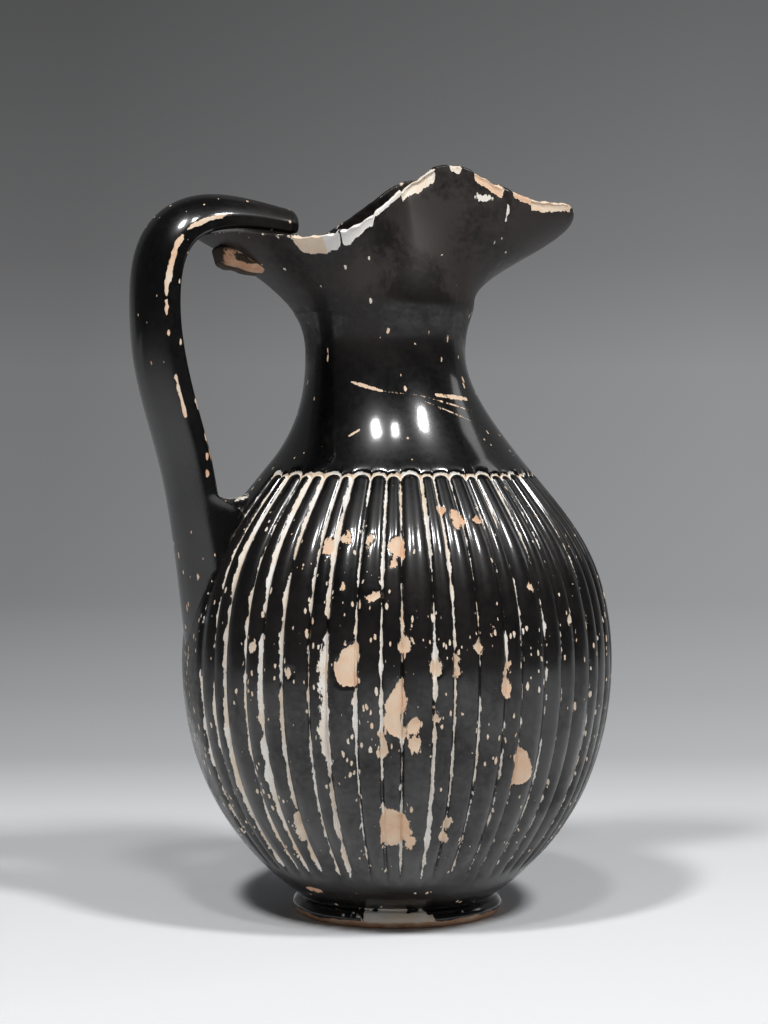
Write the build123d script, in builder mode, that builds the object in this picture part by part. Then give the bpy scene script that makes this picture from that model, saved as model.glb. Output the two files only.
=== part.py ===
"""Ribbed black-gloss jug with a trefoil mouth, as a potter throws it and lutes it together.

Millimetres, +Z up. The origin is the centre of the foot's underside. The spout points along +X and
the handle stands on the -X side. Heights are given as rises, each from the piece below it.
"""

import math
import os

from build123d import *

# Thrown walls, and the luted seams that join the pieces
body_wall = 4.5
floor_thickness = 5.5
floor_flat_radius = 16.0
neck_wall = 4.0
mouth_wall = 3.0
mouth_floor_lift = 2.2
slip_gap = 0.15
lap_height = 2.0

# Ring foot
foot_height = 5.1
foot_rest_radius = 27.3
foot_bulge_radius = 28.2
foot_bulge_rise = 2.0
foot_top_radius = 26.5
foot_bore_radius = 20.6
foot_edge_round = 0.5
floor_boss_height = 1.2

# Body outline: haunch, belly, upper body and shoulder seam, each above the one before
haunch_rise = 24.3
haunch_radius = 48.6
belly_rise = 35.1
belly_radius = 57.8
upper_rise = 32.4
upper_radius = 51.6
seam_rise = 24.6
seam_radius = 33.5
foot_slope = (1.4, 1.0)
shoulder_slope = (-0.78, 1.0)

# Reeded belly: narrow grooves between round-topped ribs, with a plain panel under the handle
rib_count = 56
panel_ribs = 4
rib_wander = 0.15
wander_turn = 137.5
groove_width = 2.4
groove_depth = 0.9
groove_foot_rise = 10.4
groove_top_drop = 5.1
arch_width = 1.2
arch_depth = 0.6
arch_leg = 0.7
cutter_clear = 0.35

# Neck, set back a little towards the handle
neck_waist_rise = 28.5
neck_waist_radius = 21.5
neck_set_back = 3.2
mouth_seam_rise = 10.0
mouth_seam_radius = 23.2
flare_slope = (0.38, 1.0)
flare_fade = 5.0

# Trefoil mouth, measured from the neck's own centre and from the mouth's seam
spout_reach = 52.4
spout_start_rise = 3.5
spout_lobe_rise = 28.0
spout_sharpness = 5.0
back_reach = 49.5
back_lobe_rise = 20.0
back_rise_power = 1.35
back_rise_limit = 1.15
back_lobe_start = 80.0
pinch_depth = 8.0
pinch_angle = 86.0
pinch_spread = 24.0
mouth_points = 36
mouth_levels = 9
mouth_level_bunching = 1.25

# Rim line as it is seen from the side, above the mouth's seam and along the spout's direction
rim_back_rise = 20.8
rim_low_rise = 19.0
rim_low_place = -31.0
rim_pinch_rise = 29.0
rim_pinch_place = -7.5
rim_crown_rise = 39.0
rim_crown_place = 8.0
rim_dip_rise = 31.0
rim_dip_place = 33.0
spout_tip_rise = 28.5
spout_tip_slope = (1.0, -1.2)
rim_trim = 4.0

# Strap handle, half round outside and flat inside
strap_width = 24.0
strap_edge = 3.7
strap_dome = 8.2
strap_root_rise = 1.5
strap_root_sink = 12.6
strap_swell_rise = 18.0
strap_swell_sink = 9.0
strap_finger_gap = 19.3
bow_drop = 17.8
bow_out = 6.5
turn_drop = 2.2
turn_out = 1.8
strap_top_rise = 1.2
strap_over = 8.7
tongue_length = 26.2
tongue_drop = 0.6
tongue_width = 14.0
tongue_edge = 3.0
tongue_dome = 4.0
tongue_taper_start = 0.76
strap_steps = 16

# Wads of clay worked into the two ends of the handle, and the coil inside the shoulder seam
root_wad_drop = 8.5
root_wad_width = 19.0
root_wad_depth = 14.0
root_wad_sag = 1.5
wad_overlap = 2.0
rim_wad_top_drop = 3.4
rim_wad_foot_drop = 10.4
rim_wad_bulge = 4.5
rim_wad_width = 17.0
seam_coil_radius = 2.6

# Heights above the resting plane
haunch_height = foot_height + haunch_rise
belly_height = haunch_height + belly_rise
upper_height = belly_height + upper_rise
seam_height = upper_height + seam_rise
neck_waist_height = seam_height + neck_waist_rise
mouth_seam_height = neck_waist_height + mouth_seam_rise
rim_back_height = mouth_seam_height + rim_back_rise
rim_crown_height = mouth_seam_height + rim_crown_rise
spout_tip_height = mouth_seam_height + spout_tip_rise

# Ends of the mouth along the spout's direction
rim_back_place = -neck_set_back - back_reach
spout_tip_place = -neck_set_back + spout_reach


def smooth_step(low, high, value):
    """Rise smoothly from 0 at low to 1 at high."""
    share = min(1.0, max(0.0, (value - low) / (high - low)))
    return share * share * (3 - 2 * share)


def first_share(reaches, high=1.0):
    """Find by halving the first share of a line where a test turns true."""
    low = 0.0
    for _ in range(50):
        middle = (low + high) / 2
        if reaches(middle):
            high = middle
        else:
            low = middle
    return low


def share_at_height(edge, height):
    """Find how far along a rising outline it reaches a height."""
    return first_share(lambda share: (edge @ share).Y > height)


def radius_at(edge, height):
    """Give the distance from the axis where a rising outline reaches a height."""
    return (edge @ share_at_height(edge, height)).X


def inward(edge, share, depth):
    """Give the point that lies a depth inside a rising outline."""
    along = edge % share
    return (edge @ share) + Vector(-along.Y, along.X) * depth


# Outlines as distance from the axis and height: the body, the neck, and the neck's inside
with BuildLine() as body_outline:
    Spline(
        (foot_top_radius, foot_height),
        (haunch_radius, haunch_height),
        (belly_radius, belly_height),
        (upper_radius, upper_height),
        (seam_radius, seam_height),
        tangents=[foot_slope, shoulder_slope],
    )
body_edge = body_outline.edges()[0]

with BuildLine() as neck_outline:
    Spline(
        (seam_radius, seam_height),
        (neck_waist_radius, neck_waist_height),
        (mouth_seam_radius, mouth_seam_height),
        tangents=[shoulder_slope, flare_slope],
    )
neck_edge = neck_outline.edges()[0]

with BuildLine() as neck_inner_outline:
    Spline([inward(neck_edge, step / 5, neck_wall) for step in range(6)])
neck_inner_edge = neck_inner_outline.edges()[0]

# Half laps: the lower piece's inner half stands up into the piece above it
lap_top = seam_height + lap_height
lap_radius = (radius_at(neck_edge, lap_top) + radius_at(neck_inner_edge, lap_top)) / 2
neck_bore_radius = radius_at(neck_inner_edge, mouth_seam_height)
mouth_lap_radius = (mouth_seam_radius + neck_bore_radius) / 2


def neck_center(height):
    """Give the neck's centre at a height, moved back from the body's axis."""
    return -neck_set_back * smooth_step(seam_height, neck_waist_height, height)


def mouth_radius(angle, height):
    """Give the mouth's outer radius about the neck's centre, from a circle to a trefoil."""
    climb = max(0.0, height - mouth_seam_height)
    flare = flare_slope[0] * climb * math.exp(-climb / flare_fade)
    spout = (spout_reach - mouth_seam_radius) * smooth_step(spout_start_rise, spout_lobe_rise, climb)
    rise = min(back_rise_limit, climb / back_lobe_rise)
    back = (back_reach - mouth_seam_radius) * rise**back_rise_power
    pinch = pinch_depth * smooth_step(0, rim_crown_rise, climb)
    off_pinch = (abs(angle) - pinch_angle) / pinch_spread
    return (
        mouth_seam_radius
        + flare
        + spout * max(0.0, math.cos(math.radians(angle))) ** spout_sharpness
        + back * smooth_step(back_lobe_start, 180, abs(angle))
        - pinch * math.exp(-0.5 * off_pinch * off_pinch)
    )


def mouth_section(height, inset):
    """List the points of one level section of the mouth."""
    points = []
    for step in range(mouth_points):
        angle = -180 + 360 * step / mouth_points
        reach = mouth_radius(angle, height) - inset
        side = math.radians(angle)
        points.append((-neck_set_back + reach * math.cos(side), reach * math.sin(side)))
    return points


# Ring foot with a bare resting face and a bore that takes the boss under the body's floor
foot_top = foot_height - slip_gap

with BuildPart() as foot_ring:
    with BuildSketch(Plane.XZ):
        with BuildLine():
            Polyline(
                (foot_rest_radius, 0),
                (foot_bore_radius, 0),
                (foot_bore_radius, foot_top),
                (foot_top_radius, foot_top),
            )
            ThreePointArc(
                (foot_top_radius, foot_top),
                (foot_bulge_radius, foot_bulge_rise),
                (foot_rest_radius, 0),
            )
        make_face()
    revolve(axis=Axis.Z)
    resting_edges = foot_ring.edges().group_by(Axis.Z)[0]
    fillet(resting_edges, foot_edge_round)

# Hollow inside the body: a flat floor, then the outline moved in by the wall
floor_height = foot_height + floor_thickness
inner_shares = [0.1, 0.2, 0.35, 0.5, 0.65, 0.8, 0.9, 1.0]

with BuildLine() as inner_outline:
    Spline(
        [(floor_flat_radius, floor_height)] + [inward(body_edge, share, body_wall) for share in inner_shares],
        tangents=[(1.0, 0.0), shoulder_slope],
    )
inner_edge = inner_outline.edges()[0]
inner_top = inner_edge @ 1

with BuildPart() as body_hollow:
    with BuildSketch(Plane.XZ):
        with BuildLine():
            add(inner_edge)
            Polyline(
                (inner_top.X, inner_top.Y),
                (radius_at(neck_inner_edge, lap_top), lap_top),
                (0, lap_top),
                (0, floor_height),
                (floor_flat_radius, floor_height),
            )
        make_face()
    revolve(axis=Axis.Z)

# Cutter for one groove: a wedge that follows the outline and runs out at its lower end
top_share = share_at_height(body_edge, seam_height - groove_top_drop)
foot_share = share_at_height(body_edge, foot_height + groove_foot_rise)
groove_shares = [foot_share + (top_share - foot_share) * step / 6 for step in range(7)]
cutter_rise = groove_depth + cutter_clear
cutter_half_width = groove_width / 2 * cutter_rise / groove_depth

with BuildPart() as groove_cutter:
    for share in groove_shares:
        depth = -slip_gap if share == foot_share else groove_depth
        point = inward(body_edge, share, depth)
        along = Plane.XZ.from_local_coords(body_edge % share)
        with BuildSketch(Plane((point.X, 0, point.Y), x_dir=(0, 1, 0), z_dir=along)):
            with BuildLine():
                Polyline(
                    (0, 0),
                    (cutter_half_width, -cutter_rise),
                    (-cutter_half_width, -cutter_rise),
                    close=True,
                )
            make_face()
    loft()

# Cutters for the round tops of the ribs: half rings whose legs run into two grooves
rib_number = rib_count - panel_ribs
rib_pitch = 360 / rib_count
rib_top = Plane.XZ.from_local_coords(body_edge @ top_share)
rib_along = Plane.XZ.from_local_coords(body_edge % top_share)
rib_out = Vector(rib_along.Z, 0, -rib_along.X)


def groove_angle(number):
    """Give the direction of a groove, with the uneven spacing of ribs drawn by hand."""
    wander = rib_wander * math.sin(math.radians(wander_turn * number))
    return 180 + rib_pitch * (panel_ribs / 2 + number + wander)


def arch_cutter(number):
    """Make the half ring over one rib."""
    low = groove_angle(number)
    high = groove_angle(number + 1)
    turned = (low + high) / 2
    radius = math.radians(high - low) * rib_top.X / 2
    outer = radius + arch_width / 2
    seat = Plane(
        (rib_top - rib_out * arch_depth).rotate(Axis.Z, turned),
        x_dir=rib_along.rotate(Axis.Z, turned),
        z_dir=rib_out.rotate(Axis.Z, turned),
    )
    with BuildPart() as half_ring:
        with BuildSketch(seat):
            Circle(outer)
            Circle(radius - arch_width / 2, mode=Mode.SUBTRACT)
            with Locations((-arch_leg, 0)):
                Rectangle(outer, 2 * outer, align=(Align.MAX, Align.CENTER), mode=Mode.SUBTRACT)
        extrude(amount=arch_depth + cutter_clear)
    return half_ring.part


arch_cutters = [arch_cutter(number) for number in range(rib_number)]

# Closed outside of the body, which the handle and its wad are cut to sit on
with BuildPart() as body_fill:
    with BuildSketch(Plane.XZ):
        with BuildLine():
            add(body_edge)
            Polyline(
                (seam_radius, seam_height),
                (0, seam_height),
                (0, foot_height),
                (foot_top_radius, foot_height),
            )
        make_face()
    revolve(axis=Axis.Z)

# Thrown body with its boss below, its lap above and the reeded belly
boss_radius = foot_bore_radius - slip_gap
boss_bottom = foot_height - floor_boss_height
groove_turns = [Location((0, 0, 0), (0, 0, groove_angle(number))) for number in range(rib_number + 1)]

with BuildPart() as ribbed_body:
    with BuildSketch(Plane.XZ):
        with BuildLine():
            add(body_edge)
            Polyline(
                (seam_radius, seam_height),
                (lap_radius, seam_height),
                (lap_radius, lap_top),
                (0, lap_top),
                (0, boss_bottom),
                (boss_radius, boss_bottom),
                (boss_radius, foot_height),
                (foot_top_radius, foot_height),
            )
        make_face()
    revolve(axis=Axis.Z)
    add(body_hollow.part, mode=Mode.SUBTRACT)
    with Locations(*groove_turns):
        add(groove_cutter.part, mode=Mode.SUBTRACT)
    add(arch_cutters, mode=Mode.SUBTRACT)

# Neck: round sections that drift back towards the handle, with a lap at each end
neck_heights = [seam_height + (mouth_seam_height - seam_height) * step / 6 for step in range(7)]
mouth_seam_plane = Plane((-neck_set_back, 0, mouth_seam_height))

with BuildPart() as neck_hollow:
    for height in neck_heights:
        with BuildSketch(Plane((neck_center(height), 0, height))):
            Circle(radius_at(neck_inner_edge, height))
    loft()
    with BuildSketch(mouth_seam_plane):
        Circle(neck_bore_radius)
    extrude(amount=lap_height)

with BuildPart() as neck:
    for height in neck_heights:
        with BuildSketch(Plane((neck_center(height), 0, height))):
            Circle(radius_at(neck_edge, height))
    loft()
    with BuildSketch(mouth_seam_plane):
        Circle(mouth_lap_radius)
    extrude(amount=lap_height)
    add(neck_hollow.part, mode=Mode.SUBTRACT)
    with BuildSketch(Plane.XY.offset(seam_height)):
        Circle(seam_radius + slip_gap)
    extrude(amount=slip_gap, mode=Mode.SUBTRACT)
    with BuildSketch(Plane.XY.offset(seam_height)):
        Circle(lap_radius + slip_gap)
    extrude(amount=lap_height + slip_gap, mode=Mode.SUBTRACT)

# Coil of clay smoothed over the seam inside the shoulder
with BuildPart() as neck_luting_coil:
    with BuildSketch(Plane.XZ):
        with Locations((inner_top.X, inner_top.Y)):
            Circle(seam_coil_radius)
    revolve(axis=Axis.Z)
    add(body_hollow.part + neck_hollow.part, mode=Mode.INTERSECT)

# Trefoil mouth: level sections from the round seam to the pinched lip, trimmed to the rim line
mouth_top = rim_crown_height + rim_trim
mouth_heights = [
    mouth_seam_height + (mouth_top - mouth_seam_height) * (level / mouth_levels) ** mouth_level_bunching
    for level in range(mouth_levels + 1)
]
rim_span = spout_reach + back_reach

with BuildPart() as mouth_fill:
    for height in mouth_heights:
        with BuildSketch(Plane.XY.offset(height)):
            with BuildLine():
                Spline(mouth_section(height, 0), periodic=True)
            make_face()
    loft()

with BuildPart() as mouth_hollow:
    for height in mouth_heights:
        with BuildSketch(Plane.XY.offset(height)):
            with BuildLine():
                Spline(mouth_section(height - mouth_floor_lift, mouth_wall), periodic=True)
            make_face()
    loft()

with BuildPart() as trefoil_mouth:
    add(mouth_fill.part)
    add(mouth_hollow.part, mode=Mode.SUBTRACT)
    with BuildSketch(mouth_seam_plane):
        Circle(mouth_lap_radius + slip_gap)
    extrude(amount=lap_height + slip_gap, mode=Mode.SUBTRACT)
    with BuildSketch(mouth_seam_plane):
        Circle(mouth_seam_radius + slip_gap)
    extrude(amount=slip_gap, mode=Mode.SUBTRACT)
    with BuildSketch(Plane.XZ):
        with BuildLine():
            Spline(
                (rim_back_place, rim_back_height),
                (rim_low_place, mouth_seam_height + rim_low_rise),
                (rim_pinch_place, mouth_seam_height + rim_pinch_rise),
                (rim_crown_place, rim_crown_height),
                (rim_dip_place, mouth_seam_height + rim_dip_rise),
                (spout_tip_place, spout_tip_height),
                tangents=[(1.0, 0.0), spout_tip_slope],
            )
            Polyline(
                (spout_tip_place, spout_tip_height),
                (rim_span, spout_tip_height),
                (rim_span, mouth_top + rim_trim),
                (-rim_span, mouth_top + rim_trim),
                (-rim_span, rim_back_height),
                (rim_back_place, rim_back_height),
            )
        make_face()
    extrude(amount=rim_span, both=True, mode=Mode.SUBTRACT)

# Strap handle: it rises out of the belly, bows out and laps over the back of the rim
strap_root_height = belly_height + strap_root_rise
strap_swell_height = strap_root_height + strap_swell_rise
strap_top_height = rim_back_height + strap_top_rise

with BuildLine(Plane.XZ) as strap_path:
    Spline(
        (strap_root_sink - radius_at(body_edge, strap_root_height), strap_root_height),
        (strap_swell_sink - radius_at(body_edge, strap_swell_height), strap_swell_height),
        (-seam_radius - strap_finger_gap, seam_height),
        (rim_back_place - bow_out, rim_back_height - bow_drop),
        (rim_back_place - turn_out, rim_back_height - turn_drop),
        (rim_back_place + strap_over, strap_top_height),
        (rim_back_place + tongue_length, strap_top_height - tongue_drop),
    )
strap_line = strap_path.edges()[0]

with BuildPart() as strap_handle:
    for step in range(strap_steps + 1):
        share = step / strap_steps
        taper = smooth_step(tongue_taper_start, 1.0, share)
        half = (strap_width + (tongue_width - strap_width) * taper) / 2
        edge = strap_edge + (tongue_edge - strap_edge) * taper
        crown = edge + strap_dome + (tongue_dome - strap_dome) * taper
        with BuildSketch(Plane(strap_line @ share, x_dir=(0, 1, 0), z_dir=strap_line % share)):
            with BuildLine():
                Polyline((-half, edge), (-half, 0), (half, 0), (half, edge))
                ThreePointArc((half, edge), (0, crown), (-half, edge))
            make_face()
    loft()
    add(body_fill.part, mode=Mode.SUBTRACT)
    add(trefoil_mouth.part, mode=Mode.SUBTRACT)

# Wad in the crotch between the handle and the shoulder
root_wad_height = seam_height - root_wad_drop
root_wad_bottom = root_wad_height - root_wad_depth
wad_back = (strap_line @ first_share(lambda share: (strap_line @ share).Z > root_wad_height)).X - wad_overlap
wad_front = wad_overlap - radius_at(body_edge, root_wad_height)

with BuildPart() as handle_root_wad:
    with BuildSketch(Plane.XZ):
        with BuildLine():
            ThreePointArc(
                (wad_back, root_wad_height + wad_overlap),
                ((wad_back + wad_front) / 2, root_wad_height - root_wad_sag),
                (wad_front, root_wad_height + wad_overlap),
            )
            Polyline(
                (wad_front, root_wad_height + wad_overlap),
                (wad_front, root_wad_bottom),
                (wad_back, root_wad_bottom),
                (wad_back, root_wad_height + wad_overlap),
            )
        make_face()
    extrude(amount=root_wad_width / 2, both=True)
    add(body_fill.part, mode=Mode.SUBTRACT)
    add(strap_handle.part, mode=Mode.SUBTRACT)

# Wad under the back of the rim, where the handle's upper end is luted on
rim_wad_top = rim_back_height - rim_wad_top_drop
rim_wad_foot = rim_back_height - rim_wad_foot_drop
wad_top_place = -neck_set_back - mouth_radius(180, rim_wad_top)
wad_foot_place = -neck_set_back - mouth_radius(180, rim_wad_foot)

with BuildPart() as handle_rim_wad:
    with BuildSketch(Plane.XZ):
        with BuildLine():
            Polyline(
                (wad_foot_place + rim_wad_bulge, rim_wad_foot),
                (wad_foot_place - rim_wad_bulge, rim_wad_foot),
                (wad_top_place, rim_wad_top),
                (wad_top_place + rim_wad_bulge, rim_wad_top),
                close=True,
            )
        make_face()
    extrude(amount=rim_wad_width / 2, both=True)
    add(mouth_fill.part, mode=Mode.SUBTRACT)

# Names and files
pieces = {
    "foot_ring": foot_ring,
    "ribbed_body": ribbed_body,
    "neck": neck,
    "neck_luting_coil": neck_luting_coil,
    "trefoil_mouth": trefoil_mouth,
    "strap_handle": strap_handle,
    "handle_root_wad": handle_root_wad,
    "handle_rim_wad": handle_rim_wad,
}
os.makedirs("parts", exist_ok=True)
for name, piece in pieces.items():
    piece.part.label = name
    export_step(piece.part, f"parts/{name}.step")
    print(name, round(piece.part.volume / 1000, 2), "cm3")
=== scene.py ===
# %% [markdown]
# # A ribbed black-gloss jug, as a lesson in Blender
# The jug was thrown on a wheel, its belly was reeded while the clay was leather hard, and it was dipped in
# a black slip that fired to a gloss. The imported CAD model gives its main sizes. The cells below dress it
# piece by piece: a denser mesh brings the uneven ribs, chips and flaked patches, and a node material brings
# the worn gloss.

# %% Load the frame
import math

import bpy
import numpy as np
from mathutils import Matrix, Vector


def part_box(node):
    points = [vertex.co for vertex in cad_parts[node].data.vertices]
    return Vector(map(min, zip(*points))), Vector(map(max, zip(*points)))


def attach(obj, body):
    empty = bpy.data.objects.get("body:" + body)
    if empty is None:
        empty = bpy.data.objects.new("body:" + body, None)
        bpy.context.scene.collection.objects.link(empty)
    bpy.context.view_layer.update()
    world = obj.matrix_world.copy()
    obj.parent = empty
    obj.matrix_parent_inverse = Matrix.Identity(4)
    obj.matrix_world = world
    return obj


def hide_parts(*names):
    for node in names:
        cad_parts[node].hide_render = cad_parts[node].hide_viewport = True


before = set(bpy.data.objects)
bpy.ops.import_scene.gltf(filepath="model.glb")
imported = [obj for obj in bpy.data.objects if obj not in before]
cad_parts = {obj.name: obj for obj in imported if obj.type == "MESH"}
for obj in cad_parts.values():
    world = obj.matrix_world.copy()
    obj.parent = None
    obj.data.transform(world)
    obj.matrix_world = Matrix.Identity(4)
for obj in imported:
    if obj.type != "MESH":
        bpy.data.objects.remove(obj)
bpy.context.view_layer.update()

# %% [markdown]
# ## Sizes
# All shapes are worked out in millimetres and turned into metres when a mesh is made. The main heights and
# reaches come from the boxes of the CAD nodes. The other values repeat the jug's own outline, so that the
# dressed pieces lie on the solids.

# %% Sizes from the frame
METRES = 0.001


def node_box(node):
    """Give a CAD node's lowest and highest corners in millimetres."""
    low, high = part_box(node)
    return np.array(low) / METRES, np.array(high) / METRES


foot_high = node_box("foot_ring")[1]
body_low, body_high = node_box("ribbed_body")
neck_low = node_box("neck")[0]
mouth_low, mouth_high = node_box("trefoil_mouth")

foot_height = foot_high[2]
foot_bulge_radius = foot_high[0]
belly_radius = body_high[1]
seam_height = neck_low[2]
mouth_seam_height = mouth_low[2]
crown_height = mouth_high[2]
neck_set_back = 3.2
spout_reach = mouth_high[0] + neck_set_back
back_reach = -mouth_low[0] - neck_set_back
print("seams at", round(seam_height, 1), "and", round(mouth_seam_height, 1), "mm")
print("crown of the rim at", round(crown_height, 1), "mm")

# %% [markdown]
# ## Camera
# The photograph was taken with a long lens a little above the shoulder, so the uprights hardly converge.
# The camera is set first, because the places of some flaked patches are given as pixels of the photograph:
# a ray through the pixel finds the spot on the clay.

# %% Camera
PHOTO_WIDTH = 768
PHOTO_HEIGHT = 1024
focal_pixels = 2200.0
horizon_pixel = 465.0
axis_pixel = 397.0
view_azimuth = math.radians(-15.0)
camera_distance = 594.0
camera_height = 120.0
mm_per_pixel = camera_distance / focal_pixels
sensor_height = 36.0

camera_data = bpy.data.cameras.new("photo_camera")
camera_data.sensor_fit = "VERTICAL"
camera_data.sensor_height = sensor_height
camera_data.lens = sensor_height * focal_pixels / PHOTO_HEIGHT
camera = bpy.data.objects.new("photo_camera", camera_data)
bpy.context.collection.objects.link(camera)
camera_place = np.array([
    math.sin(view_azimuth) * camera_distance,
    -math.cos(view_azimuth) * camera_distance,
    camera_height,
])
turn = view_azimuth + math.atan((axis_pixel - PHOTO_WIDTH / 2) / focal_pixels)
pitch = math.atan((PHOTO_HEIGHT / 2 - horizon_pixel) / focal_pixels)
camera.location = Vector(camera_place * METRES)
camera.rotation_euler = (math.pi / 2 - pitch, 0.0, turn)
bpy.context.scene.camera = camera
bpy.context.view_layer.update()
print("camera lens", round(camera_data.lens, 1), "mm")


def pixel_ray(column, row):
    """Give the direction of sight through a pixel of the photograph."""
    local = Vector((column - PHOTO_WIDTH / 2, PHOTO_HEIGHT / 2 - row, -focal_pixels))
    return np.array((camera.rotation_euler.to_matrix() @ local).normalized())


# %% [markdown]
# ## Curves and noise
# A potter's outline is one smooth bend through a few known places, which is what a cubic spline gives.
# Noise that is worked out from the place on the clay, and not drawn from a random number each time, gives
# the same jug on every run.

# %% Curves
def smooth_step(low, high, value):
    """Rise smoothly from 0 at low to 1 at high."""
    share = np.clip((value - low) / (high - low), 0.0, 1.0)
    return share * share * (3 - 2 * share)


def soft_edge(inset, softness, most=1.0):
    """Rise from 0 outside an edge to most inside it, through a half at the edge itself."""
    return np.clip(0.5 + inset / softness, 0.0, most)


def part_way(first, last, share):
    """Go a share of the way from a first value to a last one."""
    return first + (last - first) * share


def turn_from(middle, angles):
    """Give the signed turn from a middle to other angles, the short way round."""
    return np.angle(np.exp(1j * (angles - middle)))


def full_turn(count):
    """Give evenly spaced angles once round, starting at the handle."""
    return np.linspace(-math.pi, math.pi, count, endpoint=False)


def smooth_curve(points, start=None, end=None, count=400):
    """Draw a cubic spline through points, with a free end or a given direction at each end."""
    points = np.array(points, float)
    spans = np.linalg.norm(np.diff(points, axis=0), axis=1)
    size = len(points)
    matrix = np.zeros((size, size))
    right = np.zeros_like(points)
    for i in range(1, size - 1):
        matrix[i, i - 1:i + 2] = 1 / spans[i - 1], 2 / spans[i - 1] + 2 / spans[i], 1 / spans[i]
        before = (points[i] - points[i - 1]) / spans[i - 1] ** 2
        after = (points[i + 1] - points[i]) / spans[i] ** 2
        right[i] = 3 * (before + after)
    for i, near, direction in ((0, 1, start), (size - 1, size - 2, end)):
        if direction is None:
            span = spans[0] if i == 0 else spans[-1]
            matrix[i, i] = 2 / span
            matrix[i, near] = 1 / span
            right[i] = 3 * (points[max(i, near)] - points[min(i, near)]) / span ** 2
        else:
            matrix[i, i] = 1
            right[i] = np.array(direction) / np.linalg.norm(direction)
    slopes = np.linalg.solve(matrix, right)
    knots = np.concatenate([[0], np.cumsum(spans)])
    along = np.linspace(0, knots[-1], count)
    piece = np.clip(np.searchsorted(knots, along, side="right") - 1, 0, size - 2)
    span = spans[piece][:, None]
    t = ((along - knots[piece]) / spans[piece])[:, None]
    return (
        (2 * t**3 - 3 * t**2 + 1) * points[piece]
        + (t**3 - 2 * t**2 + t) * span * slopes[piece]
        + (3 * t**2 - 2 * t**3) * points[piece + 1]
        + (t**3 - t**2) * span * slopes[piece + 1]
    )


def lengths_along(line):
    """Give how far each point of a line lies along it."""
    return np.concatenate([[0], np.cumsum(np.linalg.norm(np.diff(line, axis=0), axis=1))])


def read_line(values, lengths, at):
    """Read columns of values at new places along a line."""
    return np.stack([np.interp(at, lengths, column) for column in values.T], axis=-1)


print("a straight test curve is", lengths_along(smooth_curve([(0, 0), (3, 4)]))[-1], "long")

# %% Noise
HASH_STEPS = np.array([127.1, 311.7, 74.7])
HASH_SPREAD = 43758.5453


def hashed(cell):
    """Give an even value from 0 to 1 for each whole-number cell."""
    return np.modf(np.abs(np.sin(cell @ HASH_STEPS) * HASH_SPREAD))[0]


def clay_noise(place, size):
    """Give smooth noise from 0 to 1 at places in millimetres, with patches of about a size."""
    scaled = np.asarray(place, float) / size
    cell = np.floor(scaled)
    share = scaled - cell
    share = share * share * (3 - 2 * share)
    total = 0.0
    for corner in np.ndindex(2, 2, 2):
        weight = np.prod(np.where(np.array(corner) == 1, share, 1 - share), axis=-1)
        total = total + weight * hashed(cell + np.array(corner))
    return total


print("noise at a test place is", round(float(clay_noise((1.0, 2.0, 3.0), 4.0)), 3))

# %% [markdown]
# ## From a net of points to a mesh
# Every dressed piece is a net: rows of points that each go once round. Blender could spin or skin a
# profile, but a net lets each point move on its own. Four values ride on each point for the material to
# read. `worn` says how likely the slip is to have flaked there, `speck` how many small specks it has lost,
# `pale` whether the clay under it looks cream or tan, and `matte` how much of the gloss has gone dull.

# %% Net to mesh
POINT_VALUES = ("worn", "pale", "matte", "speck")


def net_piece(name, net, values, nodes, closed_rows=False, poles=()):
    """Make a piece from rows of points that each close in a ring, and let it stand for CAD nodes."""
    rows, columns, _ = net.shape
    points = net.reshape(-1, 3)
    index = np.arange(rows * columns).reshape(rows, columns)
    below = index if closed_rows else index[:-1]
    above = np.roll(index, -1, axis=0) if closed_rows else index[1:]
    quads = np.stack([below, np.roll(below, -1, axis=1), np.roll(above, -1, axis=1), above], axis=-1)
    faces = quads.reshape(-1, 4).tolist()
    for pole, ring, at_start in zip(poles, (index[0], index[-1]), (True, False)):
        tip = len(points)
        points = np.vstack([points, pole])
        ends = np.roll(ring, -1)
        faces += [[b, a, tip] if at_start else [a, b, tip] for a, b in zip(ring.tolist(), ends.tolist())]
    mesh = bpy.data.meshes.new(name)
    mesh.from_pydata((points * METRES).tolist(), [], faces)
    for key in POINT_VALUES:
        layer = mesh.attributes.new(key, "FLOAT", "POINT")
        full = np.zeros(len(points), np.float32)
        full[:rows * columns] = np.broadcast_to(values.get(key, 0.0), (rows, columns)).ravel()
        layer.data.foreach_set("value", full)
    mesh.polygons.foreach_set("use_smooth", np.ones(len(faces), bool))
    mesh.update()
    piece = bpy.data.objects.new(name, mesh)
    bpy.context.collection.objects.link(piece)
    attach(piece, "root")
    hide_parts(*nodes)
    print(name, "has", len(points), "points")


def ring_points(radius, height, angle, center=0.0):
    """Place points on rings round an upright axis that may be moved along X."""
    return np.stack([center + radius * np.cos(angle), radius * np.sin(angle), height + 0 * angle], axis=-1)


def end_middles(net):
    """Give the middles of a net's first and last rings."""
    return net[0].mean(axis=0), net[-1].mean(axis=0)


def padded_rows(value, before, after, fill=0.0):
    """Add plain rows before and after the rows of a value."""
    row = np.full((1, value.shape[1]), fill)
    return np.concatenate([np.repeat(row, before, 0), value, np.repeat(row, after, 0)])


# %% [markdown]
# ## Outline of the belly and the neck
# The belly and the neck flow into each other, as if thrown in one pull. Their outline is drawn through a
# few measured points, with the same slope on both sides of the shoulder seam. A pixel of the photograph
# becomes a place on the clay where its ray first comes inside that outline, so that wear can be laid where
# the photograph shows it.

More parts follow.
